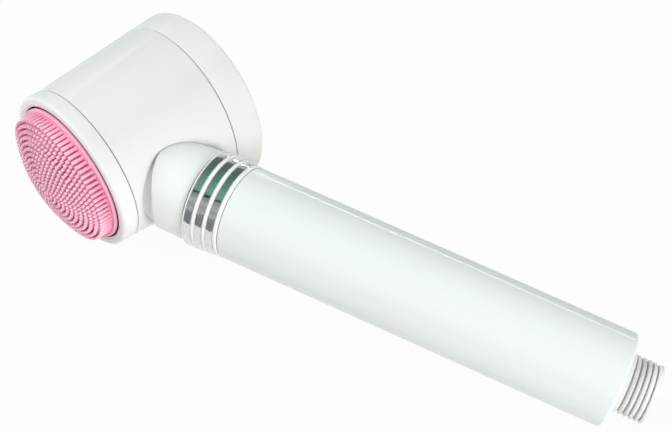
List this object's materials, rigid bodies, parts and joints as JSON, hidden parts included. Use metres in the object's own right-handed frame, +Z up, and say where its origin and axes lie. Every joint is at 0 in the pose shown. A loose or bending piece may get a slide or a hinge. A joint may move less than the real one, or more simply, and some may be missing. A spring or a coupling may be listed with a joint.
{
  "type": "handheld bath sprayer",
  "caption": "Hand-held bath sprayer for pets: long round handle, drum head with a turning silicone brush in front and a spray plate behind, hose thread at the end.",
  "frame": {"origin": "middle of the object's box, on the surface that it lies on", "axes": "+X along the handle from the head to the hose thread, +Y across it away from the brush, +Z up as it lies on its side, on both rims of the drum and the end of the handle"},
  "size_m": [0.263, 0.0914, 0.0801],
  "materials": {
    "white_plastic": "glossy, faintly cool white",
    "cream_plastic": "glossy, faintly warm white",
    "inner_plastic": "fine matt",
    "pink_silicone": "soft satin silicone",
    "chrome": "polished plating",
    "steel": "machined",
    "brass": "machined",
    "gear_plastic": "natural acetal",
    "seal_rubber": "matt",
    "thread_plastic": "satin",
    "filter_felt": "melt-blown felt"
  },
  "bodies": {
    "housing": {"head_shell": "white_plastic", "bezel_ring": "cream_plastic", "rear_ring": "cream_plastic", "spray_plate": "inner_plastic", "spray_plate_seal": "seal_rubber", "gear_cover": "inner_plastic", "cover_screw_1": "steel", "cover_screw_2": "steel", "cover_screw_3": "steel", "output_bush": "brass", "shaft_bush": "brass", "rear_bush": "brass", "shaft_seal": "seal_rubber", "idler_pin": "steel", "jet_plate": "inner_plastic", "neck_sleeve": "white_plastic", "neck_washer": "seal_rubber", "collar": "white_plastic", "chrome_ring_1": "chrome", "chrome_ring_2": "chrome", "chrome_ring_3": "chrome", "handle_seal": "seal_rubber", "handle_tube": "white_plastic", "filter_top_cap": "inner_plastic", "filter_seal": "seal_rubber", "filter_media": "filter_felt", "filter_bottom_cap": "inner_plastic", "inlet_screen": "steel", "inlet_seal": "seal_rubber", "hose_inlet": "thread_plastic"},
    "brush": {"brush_pad": "pink_silicone", "brush_carrier": "inner_plastic", "brush_screw": "steel", "brush_shaft": "steel", "output_gear": "gear_plastic"},
    "idler": {"idler_gear": "gear_plastic"},
    "turbine": {"turbine_wheel": "gear_plastic", "turbine_shaft": "steel", "turbine_pinion": "gear_plastic"}
  },
  "joints": [
    {"name": "brush_spin", "type": "hinge", "parent": "housing", "child": "brush", "pos_m": [-0.09473, -0.01378, 0.03512], "axis": [-0.2684, -0.9575, -0.1054], "continuous": true},
    {"name": "idler_spin", "type": "hinge", "parent": "housing", "child": "idler", "pos_m": [-0.11009, -0.00968, 0.03694], "axis": [-0.2684, -0.9575, -0.1054], "continuous": true},
    {"name": "turbine_spin", "type": "hinge", "parent": "housing", "child": "turbine", "pos_m": [-0.09473, -0.01378, 0.03512], "axis": [-0.2684, -0.9575, -0.1054], "continuous": true}
  ],
  "couplings": [
    {"joint": "idler_spin", "follows": "brush_spin", "ratio": -3},
    {"joint": "turbine_spin", "follows": "brush_spin", "ratio": 9}
  ]
}
